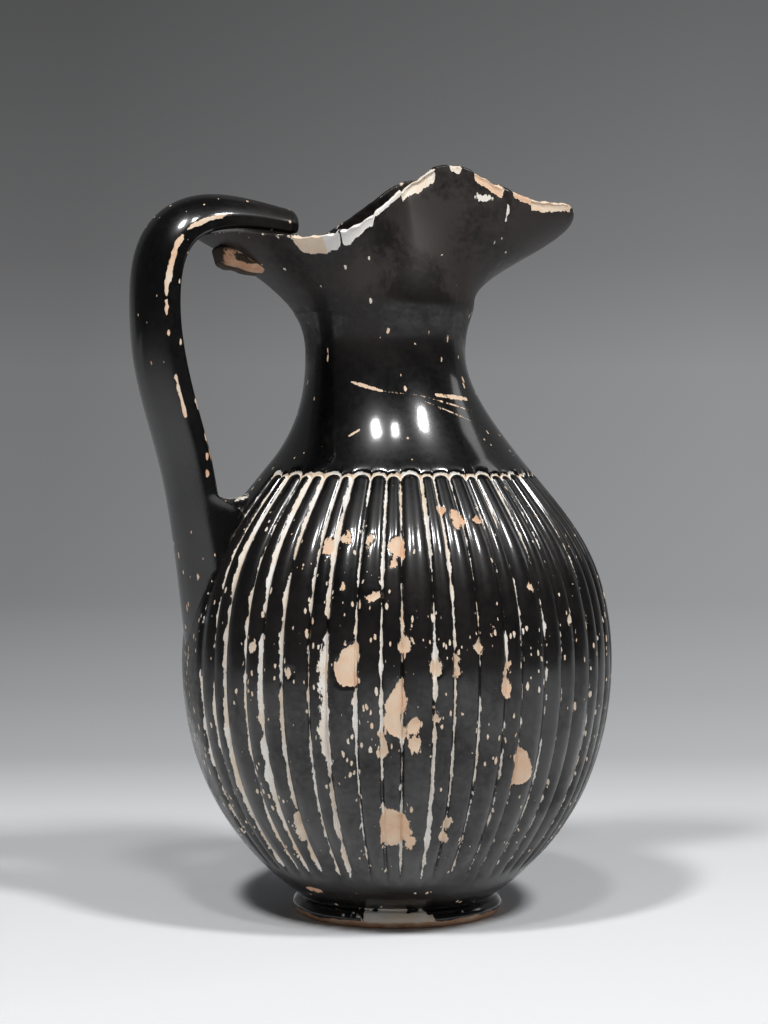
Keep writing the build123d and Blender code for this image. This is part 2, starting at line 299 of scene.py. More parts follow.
# %% Body and neck outline
foot_top_radius = 26.5
low_belly = (48.6, 29.4)
belly_height = 64.5
high_belly = (51.6, 96.9)
seam_radius = 33.5
neck_waist_radius = 21.5
neck_waist_height = 150.0
mouth_seam_radius = 23.2
foot_slope = (1.4, 1.0)
shoulder_slope = (-0.78, 1.0)
mouth_slope = (0.38, 1.0)
body_line = smooth_curve(
    [
        (foot_top_radius, foot_height), low_belly, (belly_radius, belly_height), high_belly,
        (seam_radius, seam_height),
    ],
    start=foot_slope, end=shoulder_slope,
)
neck_line = smooth_curve(
    [
        (seam_radius, seam_height), (neck_waist_radius, neck_waist_height),
        (mouth_seam_radius, mouth_seam_height),
    ],
    start=shoulder_slope, end=mouth_slope,
)
outer_line = np.vstack([body_line, neck_line[1:]])
print("belly radius", round(float(belly_radius), 1), "mm")


def outer_radius(height):
    """Give the radius of the body or the neck at a height."""
    return np.interp(height, outer_line[:, 1], outer_line[:, 0])


def neck_center(height):
    """Give how far the neck's centre lies from the body's axis, along X."""
    return -neck_set_back * smooth_step(seam_height, neck_waist_height, height)


# %% From a pixel to a place on the clay
ray_start = camera_distance - 90.0
ray_end = camera_distance + 60.0
ray_step = 0.25
ray_steps = np.arange(ray_start, ray_end, ray_step)
belly_row = 700


def first_hit(column, row, radius_at):
    """Give the angle in radians and the height where a pixel's ray first comes within a radius."""
    track = camera_place + pixel_ray(column, row) * ray_steps[:, None]
    across = track[:, 0] - neck_center(track[:, 2])
    angle = np.arctan2(track[:, 1], across)
    hit = int(np.argmax(np.hypot(across, track[:, 1]) <= radius_at(angle, track[:, 2])))
    return angle[hit], track[hit, 2]


def place_on_clay(column, row):
    """Give the angle and the height where a pixel's ray first meets the body or the neck."""
    return first_hit(column, row, lambda angle, height: outer_radius(height))


print("the picture's axis meets the belly at", round(float(place_on_clay(axis_pixel, belly_row)[1]), 1), "mm")

# %% [markdown]
# ## Ribbed body
# The ribs were drawn by hand with a tool, so their widths differ. A groove runs up each side of a rib and
# over its round top. For every point of a fine net, the distance to the nearest groove line gives the depth
# of the cut, and the rib between two grooves swells a little. A bump map would not break the outline, so
# the ribs are real shape.

# %% Ribbed body: columns and rows of the net
rib_total = 56
panel_share = 4
panel_columns = 40
rib_wander = 0.15
wander_turn = 137.5
groove_steps = np.array([0.0, 0.035, 0.07, 0.11, 0.16, 0.23, 0.34, 0.5])
arch_height = 116.5
arch_band = 8.0
low_rows = 169
arch_rows = 56

rib_number = rib_total - panel_share
rib_pitch = 2 * math.pi / rib_total
panel_half = math.pi * panel_share / rib_total
groove_index = np.arange(rib_number + 1)
wander = rib_wander * np.sin(np.radians(wander_turn * groove_index))
rib_edges = -math.pi + panel_half + rib_pitch * (groove_index + wander)
widths = np.diff(rib_edges)
shares = np.concatenate([groove_steps[:-1], 1 - groove_steps[:0:-1]])
columns = [rib_edges[i] + widths[i] * shares for i in range(rib_number)]
columns.append(np.linspace(rib_edges[-1], rib_edges[0] + 2 * math.pi, panel_columns, endpoint=False))
body_angles = np.concatenate(columns)

line_length = lengths_along(body_line)
top_length = np.interp(arch_height, body_line[:, 1], line_length)
row_lengths = np.concatenate([
    np.linspace(0, top_length - arch_band, low_rows, endpoint=False),
    np.linspace(top_length - arch_band, line_length[-1], arch_rows),
])
row_points = read_line(body_line, line_length, row_lengths)
row_radius = row_points[:, 0:1]
row_height = row_points[:, 1:2]
rise = np.gradient(row_points, row_lengths, axis=0)
print(len(body_angles), "columns and", len(row_lengths), "rows on the body")

# %% Ribbed body: distance to the grooves
groove_depth = 0.3
groove_half = 0.5
groove_start = 12.5
groove_full = 18.0
rib_round = 0.30
flank_fade = 0.7
hollow_fade = 1.6
rib = np.clip(np.searchsorted(rib_edges, body_angles, side="right") - 1, 0, rib_number - 1)
on_rib = body_angles <= rib_edges[-1]
half = widths[rib] / 2 * row_radius
from_middle = (body_angles - rib_edges[rib] - widths[rib] / 2) * row_radius
panel_side = np.minimum(body_angles - rib_edges[-1], rib_edges[0] + 2 * math.pi - body_angles)
over_top = np.maximum(row_lengths[:, None] - top_length, 0.0)
reach = np.hypot(from_middle, over_top)
past_edge = np.where(on_rib, np.maximum(reach - half, 0.0), np.hypot(panel_side * row_radius, over_top))
groove_gap = np.where(on_rib, np.abs(half - reach), past_edge)
inside_rib = on_rib & (reach < half)
run_out = smooth_step(groove_start, groove_full, row_height)
groove = np.exp(-((groove_gap / groove_half) ** 2)) * run_out
rib_drop = rib_round * np.where(on_rib, half, rib_pitch / 2 * row_radius)
flank = rib_drop * np.where(inside_rib, (reach / half) ** 2, np.exp(-past_edge / flank_fade)) * run_out
between_tops = np.where(on_rib & (reach >= half) & (over_top > 0), np.exp(-over_top / hollow_fade), 0.0)
print("deepest groove", round(float((flank + groove_depth * groove).max()), 2), "mm")

# %% [markdown]
# ## Flaked patches on the ribs
# Where the slip has flaked, the clay shows as a shallow hollow with a ragged edge. A painted mask would
# need a picture, so each large patch is given by the pixels of its middle and by its width and height in
# pixels, and every point of the net finds out how far inside it lies. The noise in the material breaks the
# edge up further.

# %% Flaked patches on the ribs
# Middle column and row, width and height in pixels of each patch, and how pale its clay is
body_flakes = [
    (347, 666, 19, 42, 0.40), (399, 709, 17, 54, 0.42), (390, 826, 24, 40, 0.35), (519, 768, 18, 38, 0.38),
    (329, 547, 13, 13, 0.30), (348, 537, 7, 13, 0.30), (370, 538, 6, 15, 0.35), (396, 545, 11, 17, 0.35),
    (392, 564, 8, 10, 0.30), (458, 519, 14, 15, 0.28), (441, 509, 8, 7, 0.25), (478, 520, 6, 6, 0.20),
    (371, 597, 11, 11, 0.38), (343, 586, 5, 5, 0.40), (529, 587, 6, 6, 0.40), (494, 634, 7, 10, 0.45),
    (416, 643, 10, 18, 0.42), (470, 646, 6, 18, 0.45), (467, 665, 5, 20, 0.45), (445, 664, 4, 25, 0.5),
    (501, 681, 6, 34, 0.40), (414, 726, 10, 14, 0.42), (386, 746, 7, 22, 0.45), (415, 744, 8, 14, 0.42),
    (444, 716, 5, 17, 0.5), (322, 700, 6, 120, 0.80), (288, 673, 5, 6, 0.5), (252, 648, 6, 6, 0.5),
    (569, 619, 4, 10, 0.6), (411, 842, 9, 11, 0.35), (437, 832, 5, 22, 0.5), (300, 830, 6, 30, 0.6),
    (314, 890, 20, 6, 0.15),
]
clinging_height = 16
over_groove = 0.5
low_swell = 0.35
flake_edge = 2.4
flake_most = 1.2
spot = ring_points(row_radius, row_height, body_angles)
broken_edge = 1.5 * (clay_noise(spot, 2.6) - 0.5)


def patch_inset(column, row, width, tall):
    """Give how far inside a flaked patch each point of the body lies, in millimetres."""
    middle, level = place_on_clay(column, row)
    half_width = 0.5 * width * mm_per_pixel
    half_tall = 0.5 * tall * mm_per_pixel
    up = (row_height - level) / half_tall
    if tall < clinging_height:
        around = (body_angles - middle) * row_radius
        return half_width * (1 - np.hypot(around / half_width, up))
    # A large flake breaks off along the nearer groove and is widest below its middle
    home = int(np.searchsorted(rib_edges, middle)) - 1
    near_right = rib_edges[home + 1] - middle < middle - rib_edges[home]
    turned = rib_edges[home + 1] - body_angles if near_right else body_angles - rib_edges[home]
    from_groove = turned * row_radius
    breadth = 2 * half_width * (1 - low_swell * up) * np.sqrt(np.maximum(0.0, 1 - up**2))
    inset = np.minimum(from_groove + over_groove, breadth - from_groove)
    return np.minimum(inset, half_tall * (1 - np.abs(up)))


flakes = np.zeros(groove_gap.shape)
flake_tone = np.zeros(groove_gap.shape)
for column, row, width, tall, tone in body_flakes:
    inset = patch_inset(column, row, width, tall)
    bite = soft_edge(inset + broken_edge, flake_edge, flake_most) * (inset > -flake_edge)
    flake_tone = np.where(bite > flakes, tone, flake_tone)
    flakes = np.maximum(flakes, bite)
print(int((flakes > 0.5).sum()), "points of the body lie in", len(body_flakes), "flaked patches")

# %% [markdown]
# ## Wear along the grooves
# The slip went first from the sharp edges, so pale lines run along the grooves: wide on the handle's side,
# thin and broken towards the spout. Edge wear could come from the mesh's curvature, but the distance to
# each groove is already known, and noise along the groove breaks the line where the slip held. Specks
# gather in clusters on the belly.

# %% Wear along the grooves
worn_side = math.radians(-165.0)
side_power = 3
groove_salt = 5
groove_stride = 41.0
least_band = 0.20
band_growth = 0.74
least_arch_band = 0.5
band_edge = 0.9
fray_shift = 900.0
break_shift = 500.0


def seeded(count, salt):
    """Give one even value from 0 to 1 for each of a count of things."""
    number = np.arange(count)
    return hashed(np.stack([number, 0 * number + salt, 0 * number], axis=-1))


groove_number = np.where(on_rib, rib + (from_middle > 0), rib_number)
streak_height = row_height + 0 * groove_number
streak_place = np.stack([groove_number * groove_stride, 0 * groove_number, streak_height], axis=-1)
side_wear = (0.5 + 0.5 * np.cos(rib_edges - worn_side)) ** side_power
groove_wear = np.clip(side_wear + 0.4 * (seeded(rib_number + 1, groove_salt) - 0.5), 0.0, 1.0)[groove_number]
band = least_band + band_growth * groove_wear
band *= 0.35 + 0.9 * clay_noise(streak_place, 14.0) + 0.6 * (clay_noise(streak_place, 3.5) - 0.5)
band *= 0.7 + 0.6 * clay_noise(streak_place + fray_shift, 1.7)
held = 0.36 - 0.3 * groove_wear
band *= smooth_step(held, held + 0.24, clay_noise(streak_place + break_shift, 7.0))
band = np.where(over_top > 0, np.maximum(band, least_arch_band), band)
groove_worn = soft_edge(band - 0.1 - groove_gap, band_edge) * run_out
body_worn = np.maximum.reduce([groove_worn, flakes, between_tops * 0.9])
print("pale lines are up to", round(2 * float(band.max()), 1), "mm wide")

# %% Clay tone, specks and dullness of the body
arch_tone = 0.5
speck_top = (112.0, 84.0)
speck_foot = (15.0, 24.0)
glossy_top = (108.0, 119.0)
groove_tone = 0.6 + 0.5 * clay_noise(spot, 7.0)
speck_tone = 0.35 + 0.4 * clay_noise(spot, 5.0)
body_pale = np.where(groove_worn > flakes, groove_tone, flake_tone)
body_pale = np.where(np.maximum(groove_worn, flakes) < 0.1, speck_tone, body_pale)
body_pale = np.where(between_tops > 0.3, arch_tone, body_pale)
worn_zone = smooth_step(*speck_top, row_height) * smooth_step(*speck_foot, row_height)
cluster = smooth_step(0.40, 0.85, clay_noise(spot, 11.0)) * worn_zone
body_speck = 0.03 + 0.5 * cluster + 0.25 * np.exp(-groove_gap / 0.8) * worn_zone
body_matte = 0.46 + 0.14 * clay_noise(spot, 30.0) - 0.35 * smooth_step(*glossy_top, row_height)
print("chance of a speck reaches", round(float(body_speck.max()), 2), "on the belly")

# %% [markdown]
# ## Body mesh
# The outer net is pressed in by the grooves, the flanks of the ribs and the shallow hollows of the flakes.
# The wall inside is out of sight but for the dark throat, so a few rows one wall in are enough. A solidify
# modifier would carry the ribs through to the inside, which the real wall doesn't show.

# %% Body mesh
flake_depth = 0.3
wall_waver = 0.35
shoulder_band = 3.0
body_wall = 4.5
floor_height = 10.6
boss_radius = 20.4
inner_rows = 24
lowest_inner_share = 0.1
flake_hollow = flake_depth * smooth_step(0.45, 0.7, flakes)
waver = wall_waver * (clay_noise(spot, 24.0) - 0.5)
shoulder_fade = smooth_step(seam_height, seam_height - shoulder_band, row_height)
cut = groove_depth * groove + flank + flake_hollow - waver * run_out * shoulder_fade
outer_net = ring_points(row_radius - cut * rise[:, 1:2], row_height + cut * rise[:, 0:1], body_angles)

inner_lengths = np.linspace(line_length[-1], line_length[-1] * lowest_inner_share, inner_rows)
inner_points = read_line(body_line, line_length, inner_lengths)
inner_rise = np.gradient(inner_points, inner_lengths, axis=0)
inner_net = ring_points(
    inner_points[:, 0:1] - body_wall * inner_rise[:, 1:2],
    np.maximum(inner_points[:, 1:2] + body_wall * inner_rise[:, 0:1], floor_height),
    body_angles,
)
under_heights = np.array([[body_low[2]], [foot_height]])
under_net = ring_points(np.full_like(under_heights, boss_radius), under_heights, body_angles)
full_net = np.concatenate([under_net, outer_net, inner_net])
plain_rows = (len(under_net), len(inner_net))
body_values = {
    "worn": padded_rows(body_worn, *plain_rows),
    "pale": padded_rows(body_pale, *plain_rows),
    "matte": padded_rows(body_matte, *plain_rows, fill=1.0),
    "speck": padded_rows(body_speck, *plain_rows),
}
net_piece(
    "reeded_body", full_net, body_values, ["ribbed_body"],
    poles=[(0, 0, body_low[2]), (0, 0, floor_height)],
)

# %% [markdown]
# ## Ring foot
# The foot is a turned ring with a soft bulge. It was wiped clean where it stands, so its lower edge is bare
# clay, and a large patch at the front has lost its slip. A screw modifier could turn the profile, but the
# ring would be too even, so a closed loop of profile points is carried round the axis and wavers a little
# on the way.

# %% Ring foot
foot_bore = 20.6
foot_rest_radius = 27.3
foot_round = 0.6
bulge_height = 2.0
foot_columns = 480
bulge = smooth_curve(
    [
        (foot_rest_radius, foot_round), (foot_bulge_radius, bulge_height),
        (foot_top_radius + 0.5, foot_height - 0.9),
    ],
    start=(0.5, 1.0), count=24,
)
bare_edge = np.array([
    (foot_bore, foot_height), (foot_bore, foot_round), (foot_bore + 0.2, 0.18), (foot_bore + foot_round, 0.0),
    (foot_bore + 2.2, 0.0), (foot_rest_radius - 2.0, 0.0), (foot_rest_radius - 0.6, 0.0),
    (foot_rest_radius - 0.15, 0.2),
])
ledge = np.array([(foot_top_radius - 0.4, foot_height - 0.7), (foot_top_radius - 0.7, foot_height)])
foot_line = np.vstack([bare_edge, bulge, ledge])
foot_radius = foot_line[:, 0:1]
foot_level = foot_line[:, 1:2]
foot_angles = full_turn(foot_columns)
foot_spot = ring_points(foot_radius, foot_level, foot_angles)
foot_outside = smooth_step(foot_bore, foot_bulge_radius, foot_radius)
foot_waver = 0.5 * (clay_noise(foot_spot, 5.0) - 0.5) * foot_outside
foot_net = ring_points(foot_radius + foot_waver, foot_level, foot_angles)
print("foot profile has", len(foot_line), "points")

# %% Wear on the foot, and its mesh
# Share and patch size in millimetres of each noise in the blotches
blotches = [(0.5, 5.0), (0.3, 2.2), (0.2, 1.1)]
bare_level = 1.3
slip_level = 2.2
patch_left = (-0.46, -0.30)
patch_right = (0.40, 0.24)
front = view_azimuth - math.pi / 2
foot_blotch = sum(share * clay_noise(foot_spot, size) for share, size in blotches)
ragged_front = turn_from(front, foot_angles) + 0.9 * (foot_blotch - 0.5)
patch_width = smooth_step(*patch_left, ragged_front) * smooth_step(*patch_right, ragged_front)
foot_patch = 0.85 * patch_width * foot_outside
foot_bare = 1.1 * smooth_step(slip_level, bare_level, foot_level + 1.6 * (foot_blotch - 0.5))
foot_values = {
    "worn": np.maximum(foot_bare, foot_patch),
    "pale": np.where(foot_bare > foot_patch, 0.2, 0.5 + 0.5 * clay_noise(foot_spot, 4.0)),
    "matte": np.full(foot_bare.shape, 0.25),
    "speck": np.full(foot_bare.shape, 0.05),
}
net_piece(
    "ring_foot", foot_net[::-1], {key: value[::-1] for key, value in foot_values.items()},
    ["foot_ring"], closed_rows=True,
)

# %% [markdown]
# ## Neck
# The neck leans back a little towards the handle, and clay was smoothed into the corner where the mouth's
# back lobe sets off. Faint painted strokes and a few scratches cross its foot. They are thin lines of worn
# slip between two pixels of the photograph, laid on the clay like the flaked patches.

# %% Neck
neck_wall = 4.0
neck_columns = 720
neck_row_stride = 3
neck_inner_stride = 4
fillet_reach = 1.25
fillet_fade = 4.0
pinched_turn = 80.0
back_turn = 180.0


def back_share(angle):
    """Rise from 0 at the pinched sides to 1 at the back, under the handle."""
    return smooth_step(pinched_turn, back_turn, np.degrees(np.abs(angle)))


def seam_fillet(angle, height):
    """Give how far clay smoothed into the corner under the mouth's back lobe stands out."""
    return fillet_reach * back_share(angle) * np.exp(-np.abs(height - mouth_seam_height) / fillet_fade)


neck_angles = full_turn(neck_columns)
neck_rows = np.vstack([neck_line[:-1:neck_row_stride], neck_line[-1]])
neck_radius = neck_rows[:, 0:1]
neck_height = neck_rows[:, 1:2]
filled_radius = neck_radius + seam_fillet(neck_angles, neck_height)
neck_outer = ring_points(filled_radius, neck_height, neck_angles, neck_center(neck_height))
neck_slope = np.gradient(neck_rows, axis=0)
neck_slope /= np.linalg.norm(neck_slope, axis=1)[:, None]
neck_in_radius = neck_radius - neck_wall * neck_slope[:, 1:2]
neck_in_height = neck_height + neck_wall * neck_slope[:, 0:1]
neck_inner = ring_points(neck_in_radius, neck_in_height, neck_angles, neck_center(neck_in_height))
neck_net = np.concatenate([neck_outer, neck_inner[::-neck_inner_stride]])
print("neck bore is", round(2 * float(neck_in_radius.min()), 1), "mm wide")

# %% Strokes on the neck, and its mesh
# First and last pixel and width in millimetres of each stroke
neck_strokes = [
    ((352, 382), (382, 391), 0.45), ((382, 391), (422, 396), 0.14), ((422, 396), (471, 411), 0.22),
    ((424, 401), (473, 422), 0.20), ((436, 395), (466, 399), 0.65), ((349, 436), (359, 430), 0.30),
]
stroke_steps = 40
stroke_edge = 0.5
stroke_most = 0.75
glossy_height = 134.0
dull_height = 159.0
neck_worn = np.zeros(neck_outer.shape[:2])
for first, last, width in neck_strokes:
    ends = np.array([place_on_clay(*first), place_on_clay(*last)])
    for share in np.linspace(0, 1, stroke_steps):
        turned, level = part_way(*ends, share)
        gap = np.hypot(turn_from(turned, neck_angles) * neck_radius, neck_height - level)
        drawn = width * (0.35 + 0.65 * math.sin(math.pi * (0.1 + 0.8 * share)))
        neck_worn = np.maximum(neck_worn, soft_edge(drawn - gap, stroke_edge, stroke_most))
neck_dull = smooth_step(glossy_height, dull_height, neck_height)
neck_matte = 0.08 + 0.55 * neck_dull + 0.25 * clay_noise(neck_outer, 12.0)
neck_speck = 0.02 + 0.05 * clay_noise(neck_outer, 16.0)
plain_rows = (0, len(neck_net) - len(neck_outer))
neck_values = {
    "worn": padded_rows(neck_worn, *plain_rows),
    "pale": 0.4,
    "matte": padded_rows(neck_matte, *plain_rows, fill=1.0),
    "speck": padded_rows(neck_speck, *plain_rows),
}
net_piece("neck_wall", neck_net, neck_values, ["neck"], closed_rows=True)

# %% [markdown]
# ## Trefoil mouth
# The mouth began as a round flare. Two fingers pinched its sides and a third drew out the spout, so each
# level section is a circle with a long lobe, a wide lobe and two dents. The wall runs up to the rim line,
# over a rounded lip and down inside. A lattice could bend a plain flare, but a formula for the radius keeps
# to the sizes of the solid.

# %% Mouth shape
spout_start = mouth_seam_height + 3.5
spout_full = mouth_seam_height + 28.0
spout_power = 5
back_lobe = 20.0
back_most = 1.15
back_power = 1.35
flare_fade = 5.0
pinch_depth = 8.0
pinch_turn = 86.0
pinch_spread = 24.0
mouth_wall = 3.0
floor_lift = 2.2
mouth_columns = 720
halvings = 40
lowest_rim = mouth_seam_height + 5.0
highest_rim = crown_height + 2.0
rim_line = smooth_curve(
    [
        (-back_reach - neck_set_back, 180.8), (-31.0, 179.0), (-7.5, 189.0), (8.0, crown_height),
        (33.0, 191.0), (spout_reach - neck_set_back, 188.5),
    ],
    start=(1.0, 0.0), end=(1.0, -1.2),
)


def mouth_radius(angle, height):
    """Give the mouth's outer radius about the neck's centre."""
    climb = np.maximum(height - mouth_seam_height, 0.0)
    flare = mouth_slope[0] * climb * np.exp(-climb / flare_fade)
    spout = (spout_reach - mouth_seam_radius) * smooth_step(spout_start, spout_full, height)
    back = (back_reach - mouth_seam_radius) * np.minimum(back_most, climb / back_lobe) ** back_power
    pinch = pinch_depth * smooth_step(mouth_seam_height, crown_height, height)
    turned = np.degrees(np.abs(angle))
    return (
        mouth_seam_radius + flare + seam_fillet(angle, height)
        + spout * np.maximum(0.0, np.cos(angle)) ** spout_power
        + back * back_share(angle)
        - pinch * np.exp(-0.5 * ((turned - pinch_turn) / pinch_spread) ** 2)
    )


def rim_height(angle, lift, inset):
    """Find by halving the height where the wall at an angle meets the rim line."""
    low = np.full_like(angle, lowest_rim)
    high = np.full_like(angle, highest_rim)
    for _ in range(halvings):
        level = (low + high) / 2
        along = -neck_set_back + (mouth_radius(angle, level - lift) - inset) * np.cos(angle)
        over = level > np.interp(along, rim_line[:, 0], rim_line[:, 1])
        high = np.where(over, level, high)
        low = np.where(over, low, level)
    return low


mouth_angles = full_turn(mouth_columns)
rim_outer = rim_height(mouth_angles, 0.0, 0.0)
rim_inner = rim_height(mouth_angles, floor_lift, mouth_wall)
print("rim runs from", round(float(rim_outer.min()), 1), "to", round(float(rim_outer.max()), 1), "mm")

# %% [markdown]
# ## Chips in the rim
# The rim has been knocked, and pale clay shows where it broke. A chip takes a bite out of the rim line and
# bares the wall for a few millimetres below it. A boolean cut would leave clean faces, so noise along the
# rim shapes each bite. The far side of the rim is mostly out of sight and gets smaller chips.

# %% Chips in the rim
# Start and end along the spout's direction, reach down the wall at each, bite, and paleness of each chip
rim_chips = [
    (-35.5, -27.0, 3.0, 3.6, 0.8, 0.55), (-27.8, -13.0, 3.5, 1.8, 0.9, 0.98),
    (-14.0, -3.0, 0.8, 0.6, 0.2, 0.9), (-3.5, 6.0, 2.0, 2.8, 1.1, 0.72), (9.5, 12.5, 1.0, 1.2, 0.4, 0.75),
    (16.0, 24.0, 1.3, 2.0, 0.9, 0.3), (26.5, 33.0, 0.8, 1.2, 0.4, 0.3), (32.0, 46.0, 2.3, 1.2, 0.8, 0.5),
]
chip_end = 0.5
far_side_share = 0.45
rim_crack = -23.2
crack_half = 0.35
side_shift = 20.0
rim_along = -neck_set_back + mouth_radius(mouth_angles, rim_outer) * np.cos(mouth_angles)
near_side = mouth_angles < 0
rim_spot = np.stack([rim_along, side_shift * near_side, rim_outer], axis=-1)
chip_strength = np.where(near_side, 1.0, far_side_share * clay_noise(rim_spot, 9.0))
bite = 0.25 * clay_noise(rim_spot, 2.5)
rim_worn = 0.2 + 0.5 * clay_noise(rim_spot, 6.0)
rim_tone = np.full_like(rim_along, 0.6)
rim_reach = np.full_like(rim_along, 0.4)
for start, end, reach_start, reach_end, deep, tone in rim_chips:
    past_start = smooth_step(start - chip_end, start + chip_end, rim_along)
    before_end = smooth_step(end + chip_end, end - chip_end, rim_along)
    inside = past_start * before_end * chip_strength
    down = part_way(reach_start, reach_end, (rim_along - start) / (end - start))
    down = down * (0.75 + 0.5 * clay_noise(rim_spot, 3.0)) * inside
    bite = np.maximum(bite, deep * inside * (0.55 + 0.75 * clay_noise(rim_spot, 1.8)))
    rim_worn = np.maximum(rim_worn, 1.1 * inside)
    rim_tone = np.where(inside > 0.5, tone, rim_tone)
    rim_reach = np.maximum(rim_reach, down)
rim_worn = rim_worn * (1 - np.exp(-(((rim_along - rim_crack) / crack_half) ** 2)))
print("deepest bite in the rim", round(float(bite.max()), 2), "mm")

# %% Walls and lip of the mouth
lip_bulge = 0.7
lip_roughness = 0.35
wall_rows = 80
wall_crowding = 0.8
inner_stride = 2
chip_edge = 1.3
inside_wear = 0.3
wall_shares = np.linspace(0, 1, wall_rows)[:, None] ** wall_crowding
outer_top = rim_outer - lip_bulge - bite
inner_top = rim_inner - lip_bulge - bite
outer_level = part_way(mouth_seam_height, outer_top, wall_shares)
outer_wall = ring_points(mouth_radius(mouth_angles, outer_level), outer_level, mouth_angles, -neck_set_back)
inner_level = part_way(mouth_seam_height, inner_top, wall_shares[::-inner_stride])
inner_wall_radius = mouth_radius(mouth_angles, inner_level - floor_lift) - mouth_wall
inner_wall = ring_points(inner_wall_radius, inner_level, mouth_angles, -neck_set_back)
lip_turn = np.linspace(0, math.pi, 9)[1:-1, None, None]
lip = 0.5 * (1 + np.cos(lip_turn)) * outer_wall[-1] + 0.5 * (1 - np.cos(lip_turn)) * inner_wall[0]
lip_rough = lip_roughness * (clay_noise(lip, 1.3) - 0.5) * (rim_worn > 0.7)
lip[..., 2] += lip_bulge * np.sin(lip_turn[..., 0]) + lip_rough
mouth_net = np.concatenate([outer_wall, lip, inner_wall])
below_rim = np.concatenate([outer_top - outer_level, 0 * lip[..., 2], inner_top - inner_level])
outside = np.arange(len(mouth_net))[:, None] < len(outer_wall)
wear_reach = np.where(outside, rim_reach, inside_wear * rim_reach)
rim_flake = soft_edge(wear_reach - below_rim, chip_edge) * rim_worn
print("mouth has", len(outer_wall), "rows outside,", len(lip), "on the lip and", len(inner_wall), "inside")

# %% [markdown]
# ## Marks and dust on the mouth
# Two pale marks and three soft clouds of dust lie on the wall that faces the camera. The marks wear the
# slip through, and the dust only dulls it. Both are placed by pixels of the photograph, as the flaked
# patches are.

# %% Marks and dust on the mouth, and its mesh
# Middle column and row, width and height in pixels of each pale mark and of each cloud of dust
mouth_marks = [(484, 198, 10, 7), (507, 212, 2, 16)]
dust_clouds = [(352, 274, 46, 52), (452, 215, 100, 90), (520, 228, 90, 56)]
mark_most = 0.8
dust_fade = 9.0
dull_rise = 12.0
sloped_reach = 1.2
chip_lean = 0.3


def off_mark(column, row, width, tall):
    """Give how far each point of the mouth lies from a mark, as a share of the mark's size."""
    turned, level = first_hit(column, row, mouth_radius)
    around = (mouth_angles - turned) * np.hypot(mouth_net[..., 0] + neck_set_back, mouth_net[..., 1])
    up = mouth_net[..., 2] - level
    return np.hypot(around / (0.5 * width * mm_per_pixel), up / (0.5 * tall * mm_per_pixel))


mouth_worn = rim_flake
for mark in mouth_marks:
    mark_worn = np.clip(1.0 - 0.5 * off_mark(*mark), 0.0, mark_most)
    mouth_worn = np.maximum(mouth_worn, np.where(outside, mark_worn, 0.0))
chip_slope = chip_lean * rim_reach * np.exp(-((below_rim / rim_reach) ** 2)) * (rim_reach > sloped_reach)
chip_in = np.where(outside, chip_slope, 0.0)
mouth_net[..., 0] -= chip_in * np.cos(mouth_angles)
mouth_net[..., 1] -= chip_in * np.sin(mouth_angles)
mouth_dust = np.zeros(mouth_worn.shape)
for dust_cloud in dust_clouds:
    mouth_dust = np.maximum(mouth_dust, np.where(outside, np.exp(-(off_mark(*dust_cloud) ** 2)), 0.0))
mouth_dust *= smooth_step(mouth_seam_height, mouth_seam_height + dust_fade, mouth_net[..., 2])
mouth_matte = 0.63 + 0.12 * smooth_step(mouth_seam_height, mouth_seam_height + dull_rise, mouth_net[..., 2])
mouth_matte += 0.25 * clay_noise(mouth_net, 12.0) + 0.2 * mouth_dust
mouth_values = {
    "worn": mouth_worn,
    "pale": np.where(rim_flake > 0.3, rim_tone, 0.8),
    "matte": mouth_matte,
    "speck": 0.015,
}
net_piece("trefoil_lip", mouth_net, mouth_values, ["trefoil_mouth"], closed_rows=True)

# %% [markdown]
# ## Strap handle
# The handle was pulled from a lump of clay: flat inside, domed outside, with an arris on each side. It
# rises out of the belly, bows out and laps over the rim as a thin tongue. One section is carried along a
# spline, and points that would lie inside the body are brought to just under its surface.

# %% Path of the handle
tongue_nose = 3.4
strap_rows = 280
nose_rows = 11
root_height = 66.0
low_height = 84.0
back_place = -neck_set_back - back_reach
strap_path = smooth_curve(
    [
        (12.6 - outer_radius(root_height), root_height), (9.0 - outer_radius(low_height), low_height),
        (-seam_radius - 19.3, seam_height), (back_place - 6.5, 163.0), (back_place - 1.8, 178.3),
        (back_place + 8.7, 181.6), (back_place + 26.4, 180.4),
    ],
    count=600,
)
path_length = lengths_along(strap_path)
nose_start = path_length[-1] - tongue_nose
nose_turn = np.linspace(0, math.pi / 2, nose_rows + 2)[1:-1]
strap_lengths = np.concatenate([
    np.linspace(0, nose_start, strap_rows), nose_start + tongue_nose * np.sin(nose_turn),
])
strap_line = read_line(strap_path, path_length, strap_lengths)
strap_step = read_line(np.gradient(strap_path, path_length, axis=0), path_length, strap_lengths)
strap_share = strap_lengths / path_length[-1]
print("strap is", round(float(path_length[-1])), "mm long")

# %% Sections of the handle
strap_width = 24.0
strap_edge = 3.7
strap_dome = 8.2
strap_corner = 0.9
tongue_width = 14.0
tongue_edge = 3.0
tongue_dome = 4.0
tongue_taper_start = 0.76
strap_waver = 0.5
core_share = 0.4


